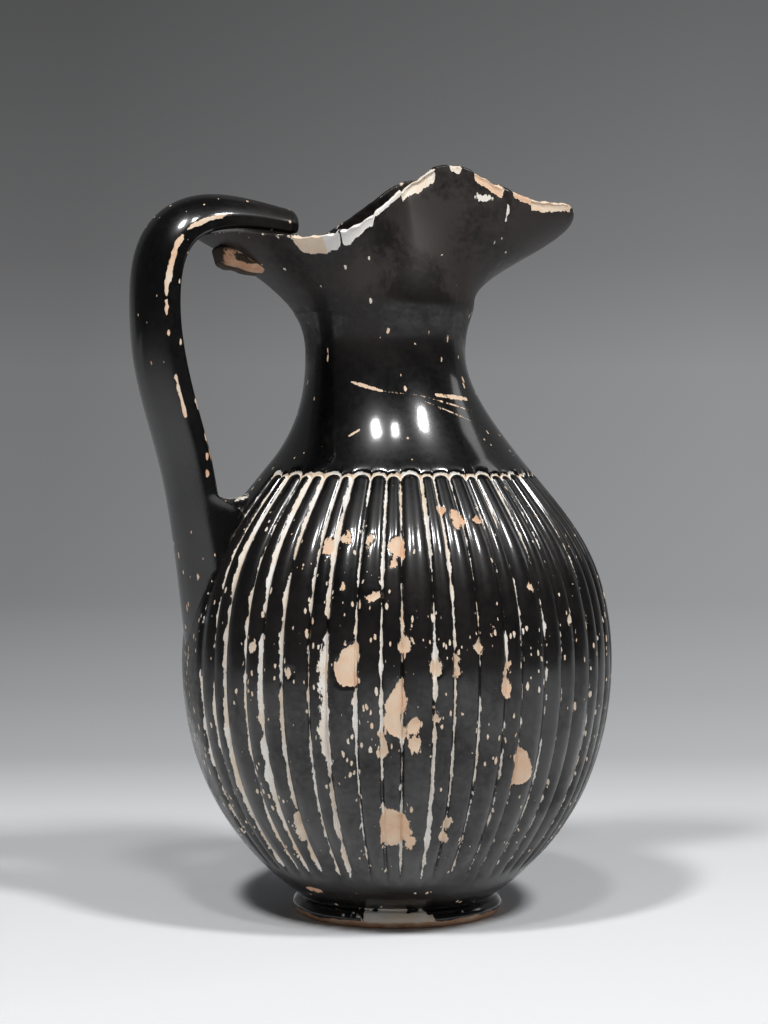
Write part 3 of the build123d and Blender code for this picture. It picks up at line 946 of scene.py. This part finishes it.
def strap_section(half, edge, dome):
    """List the points of one section: flat inside with soft corners, round outside, an arris on each side."""
    radius = (half**2 + dome**2) / (2 * dome)
    swing = math.asin(half / radius)
    turn = np.linspace(swing, -swing, 31)
    arch = np.stack([radius * np.sin(turn), edge + dome - radius + radius * np.cos(turn)], axis=-1)
    bend = np.linspace(0, math.pi / 2, 5)
    corner = np.stack([half - strap_corner * (1 - np.sin(bend)), strap_corner * (1 - np.cos(bend))], axis=-1)
    side = np.stack([np.full(4, half), np.linspace(strap_corner, edge, 6)[1:-1]], axis=-1)
    flat = np.linspace(strap_corner - half, half - strap_corner, 15)[1:-1]
    inside = np.stack([flat, np.zeros_like(flat)], axis=-1)
    mirror = np.array([-1, 1])
    return np.vstack([corner, side, arch, side[::-1] * mirror, corner[::-1] * mirror, inside])


taper = smooth_step(tongue_taper_start, 1.0, strap_share)
strap_half = part_way(strap_width, tongue_width, taper) / 2
arris_level = part_way(strap_edge, tongue_edge, taper)
strap_crown = part_way(strap_dome, tongue_dome, taper)
sections = np.array([strap_section(*sizes) for sizes in zip(strap_half, arris_level, strap_crown)])
across = sections[..., 0]
outward = sections[..., 1]
nose = np.sqrt(1 - np.clip((strap_lengths - nose_start) / tongue_nose, 0.0, 1.0) ** 2)[:, None]
core = core_share * (arris_level + strap_crown)[:, None]
from_path = part_way(core, outward, nose)
strap_net = np.stack([
    strap_line[:, 0:1] - strap_step[:, 1:2] * from_path,
    across * nose,
    strap_line[:, 1:2] + strap_step[:, 0:1] * from_path,
], axis=-1)
strap_net[..., 0] += strap_waver * (clay_noise(strap_net, 18.0) - 0.5)
print(len(sections), "sections of", sections.shape[1], "points")

# %% Root of the handle on the belly
sunk_depth = 0.7
crotch_height = 112.5
settled_height = 106.0
strap_height = strap_net[..., 2]
sunk = outer_radius(strap_height) - sunk_depth
gap = np.hypot(strap_net[..., 0], strap_net[..., 1])
below_crotch = smooth_step(crotch_height, settled_height, strap_height)
inner_side = smooth_step(strap_edge, 0.3, outward)
settled = part_way(gap, np.minimum(gap, sunk), below_crotch * inner_side)
settled = np.where(strap_height < seam_height, np.maximum(settled, sunk), gap)
strap_net[..., 0] *= settled / gap
strap_net[..., 1] *= settled / gap
print(int((settled != gap).sum()), "points of the handle were brought to the belly")

# %% [markdown]
# ## Wear on the handle
# Fingers rubbed the arris where the handle is held, so pale lines run along it and stop short of the
# tongue. The inner edge has a few worn spots beside the shoulder. As on the grooves, the distance to the
# edge gives the line its width.

# %% Wear on the handle, and its mesh
# Lowest and highest level and half width in millimetres of each worn stretch of the arris or inner edge
worn_arris = [(153.5, 200.0, 0.68), (132.5, 143.5, 0.42)]
worn_inner_edge = [(120.5, 137.5, 0.32)]
stretch_end = 1.0
rubbed_edge = 0.5
edge_inset = 0.3
arris_shift = 300.0


def worn_line(gap, stretches):
    """Give the wear along an edge, from the distance to it, over stretches of the handle's height."""
    wide = np.zeros(gap.shape)
    for low, high, half_width in stretches:
        above_low = smooth_step(low - stretch_end, low + stretch_end, strap_height)
        below_high = smooth_step(high + stretch_end, high - stretch_end, strap_height)
        unbroken = smooth_step(0.2, 0.45, clay_noise(strap_net + arris_shift, 6.0))
        inside = above_low * below_high * unbroken
        wide = np.maximum(wide, half_width * inside * (1.9 * clay_noise(strap_net, 2.4) + 0.1))
    return soft_edge(wide - 0.2 - gap, rubbed_edge)


from_side = np.abs(across) - strap_half[:, None]
arris_gap = np.hypot(from_side, outward - arris_level[:, None])
inner_gap = np.hypot(from_side + edge_inset, outward - edge_inset)
arris_fade = smooth_step(0.90, 0.84, strap_share)[:, None]
tongue_dull = smooth_step(0.84, 0.95, strap_share)[:, None]
strap_values = {
    "worn": np.maximum(worn_line(arris_gap, worn_arris) * arris_fade, worn_line(inner_gap, worn_inner_edge)),
    "pale": 0.05 + 0.6 * clay_noise(strap_net, 6.0),
    "matte": 0.12 + 0.25 * clay_noise(strap_net, 20.0) + 0.4 * tongue_dull,
    "speck": 0.02 + 0.12 * clay_noise(strap_net, 12.0),
}
net_piece(
    "pulled_handle", strap_net, strap_values, ["strap_handle"], poles=end_middles(strap_net),
)

# %% [markdown]
# ## Wads of clay at the handle's ends
# A wad fills the crotch between handle and shoulder, smoothed to a saddle. Another sits under the back of
# the rim, where it has broken to bare clay. A sculpted lump would do, but short loops of points carried
# along a line keep both wads seated on their neighbours.

# %% Wad in the crotch
root_wad_height = seam_height - 8.5
wad_overlap = 2.0
saddle_half = 8.0
saddle_half_growth = 2.0
saddle_drop = 7.5
saddle_lift = 2.5
saddle_thick = 5.5
saddle_thick_growth = 0.8
wad_turn = np.linspace(0, 2 * math.pi, 48, endpoint=False)
wad_front = wad_overlap - outer_radius(root_wad_height)
wad_back = np.interp(root_wad_height, strap_line[:, 1], strap_line[:, 0]) - wad_overlap
wad_share = np.linspace(0, 1, 25)[:, None]
wad_flare = (2 * wad_share - 1) ** 2
saddle_level = root_wad_height - saddle_drop + saddle_lift * wad_flare
root_net = np.stack([
    part_way(wad_front, wad_back, wad_share) + 0 * wad_turn,
    (saddle_half + saddle_half_growth * wad_flare) * np.cos(wad_turn),
    saddle_level + (saddle_thick + saddle_thick_growth * wad_flare) * np.sin(wad_turn),
], axis=-1)
saddle_top = smooth_step(0.3, 1.0, np.sin(wad_turn))
root_values = {"worn": 0.12 + 0.4 * saddle_top * clay_noise(root_net, 4.0), "pale": 0.8, "matte": 0.3}
net_piece(
    "crotch_wad", root_net, root_values, ["handle_root_wad"], poles=end_middles(root_net),
)

# %% Broken wad under the rim
rim_wad_top = 177.4
rim_wad_foot = 170.4
wad_depth = 4.5
wad_half = 8.5
wad_end = 8.6
end_share = 0.35
smoothing_passes = 3
foot_place = -neck_set_back - float(mouth_radius(math.pi, rim_wad_foot))
top_place = -neck_set_back - float(mouth_radius(math.pi, rim_wad_top))
wad_corner = np.array([
    (foot_place + wad_depth, rim_wad_foot), (top_place + wad_depth, rim_wad_top),
    (top_place - 0.6, rim_wad_top), (top_place + 0.8, rim_wad_foot + 2.3),
    (foot_place - 3.0, rim_wad_foot + 0.4),
])
side_shares = np.linspace(0, 1, 8, endpoint=False)[:, None]
wad_loop = np.concatenate([
    part_way(first, last, side_shares) for first, last in zip(wad_corner, np.roll(wad_corner, -1, axis=0))
])
for _ in range(smoothing_passes):
    wad_loop = 0.5 * wad_loop + 0.25 * np.roll(wad_loop, 1, axis=0) + 0.25 * np.roll(wad_loop, -1, axis=0)
wad_across = np.linspace(-wad_half, wad_half, 30)[:, None]
wad_round = np.sqrt(np.maximum(0.0, 1 - (np.abs(wad_across) / wad_end) ** 6))
wad_size = part_way(end_share, 1.0, wad_round)
wad_middle = wad_loop.mean(axis=0)
rim_net = np.stack([
    part_way(wad_middle[0], wad_loop[:, 0], wad_size),
    wad_across + 0 * wad_loop[:, 0],
    part_way(wad_middle[1], wad_loop[:, 1], wad_size),
], axis=-1)
rim_net[..., 1] += 1.6 * (clay_noise(rim_net, 3.0) - 0.5)
rim_net[..., 2] += 0.7 * (clay_noise(rim_net, 2.2) - 0.5)
clean_front = smooth_step(top_place - 0.5, top_place + 2.0, rim_net[..., 0])
clean_side = smooth_step(-1.0, -5.0, rim_net[..., 1])
rim_values = {"worn": 0.2 + 0.5 * clean_front * clean_side}
net_piece(
    "broken_wad", rim_net, rim_values, ["handle_rim_wad"], poles=end_middles(rim_net),
)

# %% [markdown]
# ## Node groups for the finishes
# Three effects make up the finishes, and the first two are shared by several materials, so each is a node
# group. One turns the `worn` value into ragged flakes, one colours the bare clay from orange tan to cream,
# and one gives the black slip its uneven gloss. A group could hold the whole finish, but then its shader
# would be hidden, so the groups put out only colours, masks and values.

# %% Node helpers
NOISE_ROUGHNESS = 0.6


def feed(tree, node, inputs):
    """Give a node's inputs their values: a socket is linked, and a constant is set."""
    for key, value in inputs.items():
        if isinstance(value, bpy.types.NodeSocket):
            tree.links.new(value, node.inputs[key])
        else:
            node.inputs[key].default_value = value


def add_node(tree, kind, inputs=(), **settings):
    """Add a node, set its properties and feed its inputs."""
    node = tree.nodes.new(kind)
    for key, value in settings.items():
        setattr(node, key, value)
    feed(tree, node, dict(inputs))
    return node


def noise_value(tree, place, scale, detail=3.0):
    """Add a noise texture at a place and give its value."""
    inputs = {"Vector": place, "Scale": scale, "Detail": detail, "Roughness": NOISE_ROUGHNESS}
    return add_node(tree, "ShaderNodeTexNoise", inputs).outputs["Fac"]


def reckon(tree, operation, *values):
    """Add a math node that takes sockets or numbers, and give its result."""
    return add_node(tree, "ShaderNodeMath", enumerate(values), operation=operation).outputs[0]


def sway(tree, noise, amount, base):
    """Let noise from 0 to 1 move a base value up or down by up to half an amount."""
    centred = reckon(tree, "SUBTRACT", noise, 0.5)
    return reckon(tree, "MULTIPLY_ADD", centred, amount, base)


def between(tree, value, low, high, to_low=0.0, to_high=1.0, kind="SMOOTHSTEP"):
    """Carry a value from one range to another, smoothly unless another kind is named."""
    inputs = {"Value": value, "From Min": low, "From Max": high, "To Min": to_low, "To Max": to_high}
    return add_node(tree, "ShaderNodeMapRange", inputs, interpolation_type=kind).outputs["Result"]


def colour_ramp(tree, value, stops):
    """Colour a value by stops of place and colour."""
    ramp = add_node(tree, "ShaderNodeValToRGB", {"Fac": value})
    while len(ramp.color_ramp.elements) < len(stops):
        ramp.color_ramp.elements.new(0.5)
    for element, (place, colour) in zip(ramp.color_ramp.elements, stops):
        element.position = place
        element.color = (*colour, 1.0)
    return ramp.outputs["Color"]


def blend_colour(tree, share, first, second):
    """Mix two colours by a share."""
    # The mix node's colour sockets share their names with its other kinds, so they are taken by number
    inputs = {"Factor": share, 6: first, 7: second}
    return add_node(tree, "ShaderNodeMix", inputs, data_type="RGBA").outputs[2]


def start_group(name, inputs, outputs):
    """Start a node group with named sockets, and give its tree, its input node and its output node."""
    tree = bpy.data.node_groups.new(name, "ShaderNodeTree")
    for key, default in inputs:
        socket = tree.interface.new_socket(key, in_out="INPUT", socket_type="NodeSocketFloat")
        socket.default_value = default
    for key, kind in outputs:
        tree.interface.new_socket(key, in_out="OUTPUT", socket_type=kind)
    return tree, tree.nodes.new("NodeGroupInput"), tree.nodes.new("NodeGroupOutput")


def clay_place(tree):
    """Give the place on the object that the textures are read at."""
    return add_node(tree, "ShaderNodeTexCoord").outputs["Object"]


# %% Ragged flakes
flake_stretch = (1.0, 1.0, 0.42)
flake_group, flake_in, flake_out = start_group(
    "ragged_flakes", [("Worn", 0.0), ("Specks", 0.0), ("Raggedness", 1.25)], [("Mask", "NodeSocketFloat")],
)
stretch = add_node(
    flake_group, "ShaderNodeMapping", {"Vector": clay_place(flake_group), "Scale": flake_stretch},
)
place = stretch.outputs["Vector"]
coarse = noise_value(flake_group, place, scale=520.0, detail=4.0)
fine = noise_value(flake_group, place, scale=1500.0, detail=2.0)
ragged = sway(flake_group, fine, amount=0.6, base=reckon(flake_group, "SUBTRACT", coarse, 0.5))
edge = reckon(flake_group, "MULTIPLY_ADD", ragged, flake_in.outputs["Raggedness"], flake_in.outputs["Worn"])
flaked = between(flake_group, edge, low=0.46, high=0.54)

cells = add_node(flake_group, "ShaderNodeTexVoronoi", {"Vector": place, "Scale": 1000.0})
chance = add_node(flake_group, "ShaderNodeSeparateColor", {"Color": cells.outputs["Color"]})
chosen = reckon(flake_group, "LESS_THAN", chance.outputs["Red"], flake_in.outputs["Specks"])
few_large = reckon(flake_group, "POWER", chance.outputs["Green"], 2.2)
speck_size = reckon(flake_group, "MULTIPLY_ADD", few_large, 0.40, 0.06)
uneven = reckon(flake_group, "MULTIPLY_ADD", ragged, 0.9, cells.outputs["Distance"])
speck_inset = reckon(flake_group, "SUBTRACT", speck_size, uneven)
speck = reckon(flake_group, "MULTIPLY", between(flake_group, speck_inset, low=-0.02, high=0.03), chosen)
feed(flake_group, flake_out, {"Mask": reckon(flake_group, "MAXIMUM", flaked, speck)})
print(flake_group.name, "has", len(flake_group.nodes), "nodes")

# %% Clay colour
clay_stops = [
    (0.0, (0.55, 0.25, 0.13)), (0.3, (0.78, 0.54, 0.37)), (0.62, (0.78, 0.66, 0.52)),
    (0.95, (0.84, 0.81, 0.77)),
]
clay_group, clay_in, clay_out = start_group(
    "bare_clay_colour", [("Pale", 0.3)], [("Colour", "NodeSocketColor"), ("Height", "NodeSocketFloat")],
)
place = clay_place(clay_group)
grain = noise_value(clay_group, place, scale=3000.0, detail=2.0)
patchy = noise_value(clay_group, place, scale=260.0)
tone = sway(clay_group, patchy, amount=0.6, base=clay_in.outputs["Pale"])
tone = sway(clay_group, grain, amount=0.3, base=tone)
feed(clay_group, clay_out, {"Colour": colour_ramp(clay_group, tone, clay_stops), "Height": grain})
print(clay_group.name, "has", len(clay_group.nodes), "nodes")

# %% Slip gloss
slip_stops = [
    (0.0, (0.0008, 0.0007, 0.0008)), (0.3, (0.0014, 0.0012, 0.0012)), (0.6, (0.0080, 0.0066, 0.0060)),
    (0.8, (0.012, 0.0098, 0.0090)), (1.0, (0.034, 0.028, 0.0255)),
]
slip_group, slip_in, slip_out = start_group(
    "black_slip_gloss", [("Matte", 0.0)],
    [("Colour", "NodeSocketColor"), ("Roughness", "NodeSocketFloat"), ("Gloss", "NodeSocketFloat"),
     ("Height", "NodeSocketFloat")],
)
place = clay_place(slip_group)
cloud = noise_value(slip_group, place, scale=70.0, detail=4.0)
smear = noise_value(slip_group, place, scale=700.0, detail=4.0)
dull = sway(slip_group, cloud, amount=0.9, base=slip_in.outputs["Matte"])
dull = sway(slip_group, smear, amount=0.5, base=dull)
even_rough = between(slip_group, dull, low=-0.1, high=1.1, to_low=0.26, to_high=0.50)
feed(slip_group, slip_out, {
    "Colour": colour_ramp(slip_group, dull, slip_stops),
    "Roughness": sway(slip_group, smear, amount=0.12, base=even_rough),
    "Gloss": between(slip_group, dull, low=0.3, high=0.9, to_low=1.0, to_high=0.05),
    "Height": smear,
})
print(slip_group.name, "has", len(slip_group.nodes), "nodes")

# %% [markdown]
# ## Materials
# Worn black slip is two finishes with a mask between them: gloss where the slip holds, and dull clay where
# it has flaked. The mask also sinks the surface a little through a bump, so that a flake has an edge. Bare
# clay uses the clay group alone. Grimy clay, on the broken wad, uses the flake mask to leave old dirt on
# the clay where it isn't clean.

# %% Material helpers
def start_material(name):
    """Start a material and give it, its tree and its shader."""
    material = bpy.data.materials.new(name)
    material.use_nodes = True
    tree = material.node_tree
    return material, tree, tree.nodes["Principled BSDF"]


def place_group(tree, group, inputs):
    """Place a node group in a material with its own values."""
    return add_node(tree, "ShaderNodeGroup", inputs, node_tree=group)


def point_value(tree, key):
    """Read one of the values that ride on a mesh's points."""
    return add_node(tree, "ShaderNodeAttribute", attribute_name=key).outputs["Fac"]


def bumped(tree, height, strength, distance):
    """Give the normal of a surface that is raised by a height."""
    inputs = {"Height": height, "Strength": strength, "Distance": distance}
    return add_node(tree, "ShaderNodeBump", inputs).outputs["Normal"]


# %% Worn black slip
dry_roughness = 0.85
worn_slip, tree, shader = start_material("worn_black_slip")
flake = place_group(tree, flake_group, {
    "Worn": point_value(tree, "worn"), "Specks": point_value(tree, "speck"),
})
clay = place_group(tree, clay_group, {"Pale": point_value(tree, "pale")})
slip = place_group(tree, slip_group, {"Matte": point_value(tree, "matte")})
mask = flake.outputs["Mask"]
whole = reckon(tree, "SUBTRACT", 1.0, mask)
dry = reckon(tree, "MULTIPLY", mask, dry_roughness)
kept = reckon(tree, "MULTIPLY", whole, slip.outputs["Roughness"])
skin = reckon(tree, "MULTIPLY_ADD", slip.outputs["Height"], 0.12, whole)
skin = reckon(tree, "MULTIPLY_ADD", reckon(tree, "MULTIPLY", clay.outputs["Height"], mask), 0.5, skin)
feed(tree, shader, {
    "Base Color": blend_colour(tree, mask, slip.outputs["Colour"], clay.outputs["Colour"]),
    "Roughness": reckon(tree, "ADD", dry, kept),
    "Coat Weight": reckon(tree, "MULTIPLY", whole, slip.outputs["Gloss"]),
    "Coat Roughness": 0.12,
    "Coat IOR": 1.6,
    "Specular IOR Level": 0.22,
    "Normal": bumped(tree, skin, strength=0.5, distance=0.00025),
})
print(worn_slip.name, "has", len(tree.nodes), "nodes")

# %% Bare clay and grimy clay
clay_bump = {"strength": 0.6, "distance": 0.0003}
grime_stops = [(0.3, (0.012, 0.009, 0.008)), (0.7, (0.09, 0.055, 0.032))]
bare_clay, tree, shader = start_material("bare_clay")
clay = place_group(tree, clay_group, {"Pale": 0.3})
feed(tree, shader, {
    "Base Color": clay.outputs["Colour"],
    "Roughness": 0.88,
    "Normal": bumped(tree, clay.outputs["Height"], **clay_bump),
})

grimy_clay, tree, shader = start_material("grimy_clay")
clay = place_group(tree, clay_group, {"Pale": 0.12})
clean = place_group(tree, flake_group, {"Worn": point_value(tree, "worn"), "Raggedness": 1.0})
grime = colour_ramp(tree, clay.outputs["Height"], grime_stops)
feed(tree, shader, {
    "Base Color": blend_colour(tree, clean.outputs["Mask"], grime, clay.outputs["Colour"]),
    "Roughness": 0.8,
    "Normal": bumped(tree, clay.outputs["Height"], **clay_bump),
})
print("clay materials:", bare_clay.name, "and", grimy_clay.name)

# %% Finishes on the pieces
sharp_angle = math.radians(55)
black_pieces = ["reeded_body", "ring_foot", "neck_wall", "trefoil_lip", "pulled_handle", "crotch_wad"]
finishes = {name: worn_slip for name in black_pieces}
finishes["broken_wad"] = grimy_clay
for name, material in finishes.items():
    mesh = bpy.data.objects[name].data
    mesh.materials.append(material)
    mesh.set_sharp_from_angle(angle=sharp_angle)
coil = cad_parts["neck_luting_coil"]
coil.data.materials.clear()
coil.data.materials.append(bare_clay)
print("black slip on", len(black_pieces), "pieces, grimy clay on the broken wad, bare clay on the coil")

# %% [markdown]
# ## Floor and backdrop
# The jug stands on a pale sheet that sweeps up behind it. One bent sheet has no corner to show. Near the jug
# the sheet is plain paper that takes the shadows. Further back, rays from the camera and from the gloss see a
# glowing grey with a painted falloff of light, darker with distance and to the left, so no extra lamp lights
# the backdrop.

# %% Sweep, in metres
sweep_radius = 0.6
sweep_back = 1.3
sweep_half = 3.5
sweep_front = -3.5
sweep_top = 3.0
bend_turn = np.linspace(0, math.pi / 2, 25)
profile = [(sweep_front, 0.0)] + [
    (sweep_back + sweep_radius * math.sin(t), sweep_radius * (1 - math.cos(t))) for t in bend_turn
] + [(sweep_back + sweep_radius, sweep_top)]
sweep_points = [(side * sweep_half, y, z) for y, z in profile for side in (-1, 1)]
sweep_faces = [(2 * i, 2 * i + 1, 2 * i + 3, 2 * i + 2) for i in range(len(profile) - 1)]
sweep_mesh = bpy.data.meshes.new("paper_sweep")
sweep_mesh.from_pydata(sweep_points, [], sweep_faces)
sweep_mesh.polygons.foreach_set("use_smooth", [True] * len(sweep_faces))
sweep = bpy.data.objects.new("paper_sweep", sweep_mesh)
sweep.rotation_euler = (0, 0, view_azimuth)
bpy.context.collection.objects.link(sweep)
print("paper sweep has", len(sweep_faces), "faces")

# %% Paper with a painted falloff of light
# Place along the fade and brightness there of the painted falloff of light
painted_falloff_steps = [
    (0.09, 0.72), (0.13, 0.58), (0.17, 0.44), (0.25, 0.36), (0.36, 0.31), (0.5, 0.27), (0.73, 0.23),
    (0.8, 0.165), (0.92, 0.105),
]
grey_cast = np.array([1.0, 1.01, 1.03])
paper, tree, shader = start_material("paper_with_painted_falloff")
feed(tree, shader, {"Base Color": (0.90, 0.91, 0.925, 1.0), "Roughness": 0.9})
split = add_node(tree, "ShaderNodeSeparateXYZ", {"Vector": clay_place(tree)})
away = reckon(tree, "ADD", split.outputs["Y"], split.outputs["Z"])
fade = between(tree, away, low=-0.2, high=2.8, kind="LINEAR")
# Painted side light: the glowing backdrop is darker to the left and brighter to the right
painted_side_falloff = between(
    tree, split.outputs["X"], low=-0.35, high=0.35, to_low=0.75, to_high=1.2, kind="LINEAR",
)
# The far sheet glows with this painted falloff of light in place of lamplight falling on it
painted_backdrop_glow = add_node(tree, "ShaderNodeEmission", {
    "Color": colour_ramp(tree, fade, [(at, grey * grey_cast) for at, grey in painted_falloff_steps]),
    "Strength": painted_side_falloff,
})
seen = add_node(tree, "ShaderNodeLightPath")
direct = reckon(tree, "MAXIMUM", seen.outputs["Is Camera Ray"], seen.outputs["Is Glossy Ray"])
direct = reckon(tree, "MAXIMUM", direct, seen.outputs["Is Transmission Ray"])
far_share = reckon(tree, "MULTIPLY", between(tree, away, low=0.08, high=0.32), direct)
layers = add_node(tree, "ShaderNodeMixShader", {
    "Fac": far_share, 1: shader.outputs["BSDF"], 2: painted_backdrop_glow.outputs["Emission"],
})
feed(tree, tree.nodes["Material Output"], {"Surface": layers.outputs["Shader"]})
sweep_mesh.materials.append(paper)
print(paper.name, "has", len(painted_falloff_steps), "greys")

# %% [markdown]
# ## Lamps
# Three small bright spots on the shoulder show three lamps above the camera. The outer two throw the long
# shadows, one to each side, and a weak tall lamp edges the ribs on the right. Their power together lights a
# white card to just under white. The air round the jug is dim, and only the camera sees it brighter.

# %% Lamps
lamp_aim = Vector((0.0, 0.0, 0.1))


def add_lamp(name, turned, height_angle, distance, size, power):
    """Add an area lamp that looks at the jug, turned from the line of sight and lifted above the floor."""
    data = bpy.data.lights.new(name, "AREA")
    data.shape = "RECTANGLE"
    data.size = size[0]
    data.size_y = size[1]
    data.energy = power
    lamp = bpy.data.objects.new(name, data)
    bearing = view_azimuth + math.radians(turned)
    lifted = math.radians(height_angle)
    reach = Vector((
        math.sin(bearing) * math.cos(lifted), -math.cos(bearing) * math.cos(lifted), math.sin(lifted),
    ))
    lamp.location = lamp_aim + reach * distance
    lamp.rotation_euler = (-reach).to_track_quat("-Z", "Y").to_euler()
    bpy.context.collection.objects.link(lamp)
    print(name, "gives", power, "W")


# Name, turn and lift in degrees, distance, width and height in metres, and power in watts of each lamp
lamps = [
    ("lamp_left", -28.0, 56.0, 1.0, (0.09, 0.15), 4.7),
    ("lamp_middle", 0.0, 60.0, 1.1, (0.09, 0.12), 1.8),
    ("lamp_right", 45.0, 54.0, 1.0, (0.11, 0.16), 5.2),
    ("lamp_side_right", 110.0, 35.0, 1.2, (0.25, 0.5), 0.6),
]
for lamp in lamps:
    add_lamp(*lamp)

# %% Air
air_light = 0.07
air_seen_more = 0.45
world = bpy.data.worlds.new("studio_air")
world.use_nodes = True
tree = world.node_tree
seen = add_node(tree, "ShaderNodeLightPath")
feed(tree, tree.nodes["Background"], {
    "Color": (0.5, 0.52, 0.55, 1.0),
    "Strength": reckon(tree, "MULTIPLY_ADD", seen.outputs["Is Camera Ray"], air_seen_more, air_light),
})
bpy.context.scene.world = world
bpy.context.scene.view_settings.view_transform = "Standard"
print("air lights the jug at", air_light)
